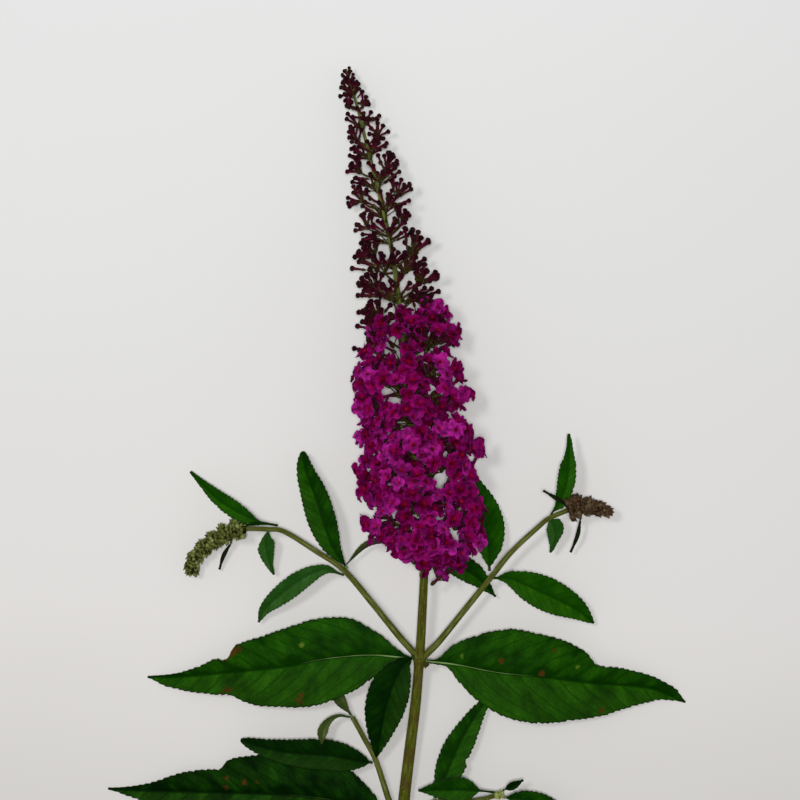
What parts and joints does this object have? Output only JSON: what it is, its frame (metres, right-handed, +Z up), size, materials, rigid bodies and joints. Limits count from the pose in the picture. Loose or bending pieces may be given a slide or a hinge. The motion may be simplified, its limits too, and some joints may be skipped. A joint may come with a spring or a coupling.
{
  "type": "cut flowering branch of butterfly bush",
  "caption": "Cut flowering branch of a butterfly bush lying flat: a long panicle of purple flowers and dark buds over opposite lance-shaped leaves and side shoots.",
  "frame": {"origin": "on the surface that the branch lies on, under the middle of its box", "axes": "+Y along the branch from its cut end towards the panicle's tip, +Z up from the surface"},
  "size_m": [0.2315, 0.3269, 0.0468],
  "materials": {
    "stem_green": "satin olive-green shoot",
    "leaf_green": "matt deep green blade",
    "flower_purple": "velvety magenta-purple petals",
    "bud_maroon": "matt dark maroon buds",
    "spike_grey_green": "downy grey-green unopened buds",
    "spike_brown": "dry brown buds"
  },
  "bodies": {
    "root": {"main_stem": "stem_green", "stem_left": "stem_green", "stem_right": "stem_green", "stem_low_left": "stem_green", "stem_low_right": "stem_green", "bract_left_low": "leaf_green", "bract_left_top": "leaf_green", "bract_right_low": "leaf_green", "bract_right_top": "leaf_green", "leaf_base_left": "leaf_green", "leaf_base_right": "leaf_green", "leaf_left_far": "leaf_green", "leaf_left_lower": "leaf_green", "leaf_left_small": "leaf_green", "leaf_left_upright": "leaf_green", "leaf_low_left": "leaf_green", "leaf_low_right_inner": "leaf_green", "leaf_low_right_outer": "leaf_green", "leaf_low_right_upright": "leaf_green", "leaf_node_hanging": "leaf_green", "leaf_right_behind": "leaf_green", "leaf_right_lower": "leaf_green", "leaf_right_small": "leaf_green", "leaf_right_upright": "leaf_green", "leaf_spike_left": "leaf_green", "leaf_spike_right": "leaf_green", "leaf_tuft_down": "leaf_green", "leaf_tuft_right": "leaf_green", "leaf_tuft_up": "leaf_green", "leaf_upper_left": "leaf_green", "leaf_upper_right": "leaf_green", "panicle_lower_flowers": "flower_purple", "panicle_upper_flowers": "flower_purple", "panicle_lower_buds": "bud_maroon", "panicle_tip_buds": "bud_maroon", "spike_left": "spike_grey_green", "spike_right": "spike_brown", "tuft_buds": "spike_grey_green"}
  },
  "joints": []
}
